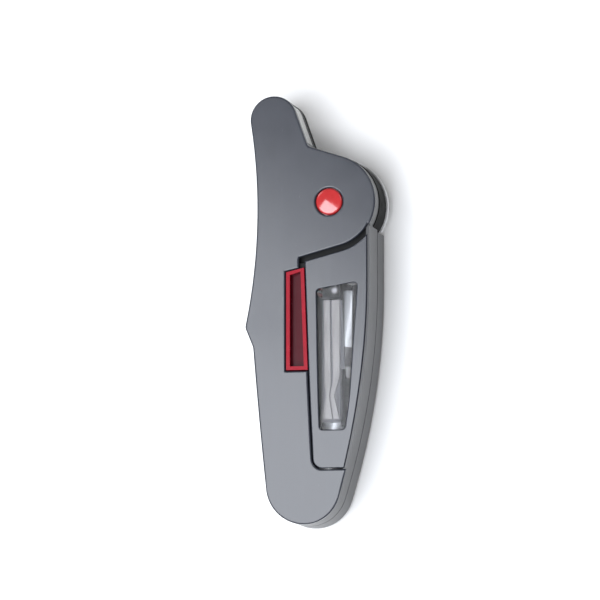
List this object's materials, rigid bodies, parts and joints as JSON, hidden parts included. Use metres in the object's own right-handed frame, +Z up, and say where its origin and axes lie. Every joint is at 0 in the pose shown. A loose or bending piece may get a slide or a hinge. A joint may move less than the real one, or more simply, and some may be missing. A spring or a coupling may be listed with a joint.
{
  "type": "electric can opener",
  "caption": "Handheld cordless can opener with a round drive head, long nose, red release button, hinged power bar and windowed battery cover.",
  "frame": {"origin": "middle of the footprint at the flat underside of the lower housing", "axes": "+Z up through the button, +Y from the handle to the nose, +X towards the side of the round head"},
  "size_m": [0.071, 0.226, 0.043],
  "materials": {
    "cover_plastic": "dark blue-grey semi-gloss",
    "housing_plastic": "mid grey semi-gloss",
    "band_black": "satin black",
    "plate_steel": "brushed",
    "bright_steel": "brushed",
    "button_red": "glossy red",
    "bar_red": "semi-gloss dark red",
    "window_clear": "clear",
    "deck_dark": "matt black",
    "gear_nylon": "natural nylon",
    "hard_steel": "polished tool steel",
    "spring_steel": "drawn wire",
    "screw_steel": "zinc plated",
    "motor_steel": "plated can",
    "gearhead_cast": "die cast",
    "bush_bronze": "sintered",
    "magnet_ferrite": "nickel plated magnet",
    "tray_plastic": "grey",
    "cell_label": "silver sleeve",
    "contact_nickel": "nickel plated",
    "switch_black": "black",
    "wire_red": "insulation"
  },
  "bodies": {
    "housing": {"arm_pivot_pin": "hard_steel", "arm_spring": "spring_steel", "battery_cells": "cell_label", "battery_tray": "tray_plastic", "bus_strips": "contact_nickel", "button_spring": "spring_steel", "case_screws": "screw_steel", "cell_retainer": "deck_dark", "contact_plates": "contact_nickel", "contact_springs": "spring_steel", "gear_cover": "deck_dark", "gear_motor": "motor_steel", "gearbox_plate": "plate_steel", "gearhead": "gearhead_cast", "head_band": "band_black", "head_cover": "cover_plastic", "head_plate": "plate_steel", "head_screws": "screw_steel", "idler_pin": "hard_steel", "lead_wires": "wire_red", "lower_housing": "housing_plastic", "magnet_lugs": "plate_steel", "magnet_pin": "hard_steel", "microswitch": "switch_black", "nose_plate": "bright_steel", "plate_posts": "bush_bronze", "power_bar_pin": "hard_steel", "power_bar_spring": "spring_steel", "spindle_bushes": "bush_bronze", "strip_carrier": "tray_plastic", "switch_frame": "deck_dark", "terminal_block": "deck_dark", "terminal_screws": "screw_steel", "upper_housing": "housing_plastic"},
    "battery_cover": {"battery_cover": "cover_plastic", "battery_window": "window_clear"},
    "release_button": {"release_button": "button_red"},
    "power_bar": {"power_bar": "bar_red"},
    "switch_plunger": {"microswitch_plunger": "button_red"},
    "motor_pinion": {"motor_pinion": "bush_bronze"},
    "idler_gear": {"idler_gear": "gear_nylon"},
    "drive": {"drive_spindle": "hard_steel", "output_gear": "gear_nylon", "drive_wheel": "hard_steel", "spindle_clip": "spring_steel"},
    "cutter_arm": {"cutter_arm": "plate_steel", "cutter_axle": "hard_steel"},
    "cutting_wheel": {"cutting_wheel": "hard_steel"},
    "magnet_arm": {"magnet_arm": "bright_steel", "lid_magnet": "magnet_ferrite", "magnet_rivet": "bush_bronze"}
  },
  "joints": [
    {"name": "battery_cover_lift", "type": "slide", "parent": "housing", "child": "battery_cover", "axis": [0, 0, 1], "range_m": [0, 0.05]},
    {"name": "release_press", "type": "slide", "parent": "housing", "child": "release_button", "axis": [0, 0, -1], "range_m": [0, 0.0016], "stiffness_N_per_m": 900, "springref_m": -0.001, "deforming": ["button_spring"]},
    {"name": "power_bar_press", "type": "hinge", "parent": "housing", "child": "power_bar", "pos_m": [-0.0082, -0.0304, 0.0352], "axis": [-1, 0, 0], "range_deg": [0, 1.8], "stiffness_Nm_per_rad": 2, "springref_deg": -1.72, "deforming": ["power_bar_spring"]},
    {"name": "switch_plunger_press", "type": "slide", "parent": "housing", "child": "switch_plunger", "axis": [0, 0, -1], "range_m": [0, 0.0011]},
    {"name": "drive_spin", "type": "hinge", "parent": "housing", "child": "drive", "pos_m": [0.0095, 0.056, 0.02], "axis": [0, 0, 1], "continuous": true},
    {"name": "idler_spin", "type": "hinge", "parent": "housing", "child": "idler_gear", "pos_m": [-0.0108, 0.04653, 0.028], "axis": [0, 0, 1], "continuous": true},
    {"name": "motor_spin", "type": "hinge", "parent": "housing", "child": "motor_pinion", "pos_m": [-0.01463, 0.02854, 0.031], "axis": [0, 0, 1], "continuous": true},
    {"name": "cutter_arm_swing", "type": "hinge", "parent": "housing", "child": "cutter_arm", "pos_m": [-0.017, 0.08, 0.0097], "axis": [0, 0, -1], "range_deg": [0, 12]},
    {"name": "cutting_wheel_spin", "type": "hinge", "parent": "cutter_arm", "child": "cutting_wheel", "pos_m": [-0.0084, 0.058, 0.005], "axis": [0, 0, 1], "continuous": true},
    {"name": "magnet_arm_tilt", "type": "hinge", "parent": "housing", "child": "magnet_arm", "pos_m": [-0.017, 0.089, 0.0089], "axis": [-1, 0, 0], "range_deg": [0, 10], "stiffness_Nm_per_rad": 0.05, "springref_deg": -11.46}
  ],
  "couplings": [
    {"joint": "idler_spin", "follows": "drive_spin", "ratio": -3},
    {"joint": "motor_spin", "follows": "drive_spin", "ratio": 6.8571},
    {"joint": "cutter_arm_swing", "follows": "release_press", "rad_per_m": 129.81},
    {"joint": "switch_plunger_press", "follows": "power_bar_press", "m_per_rad": 0.0335}
  ]
}
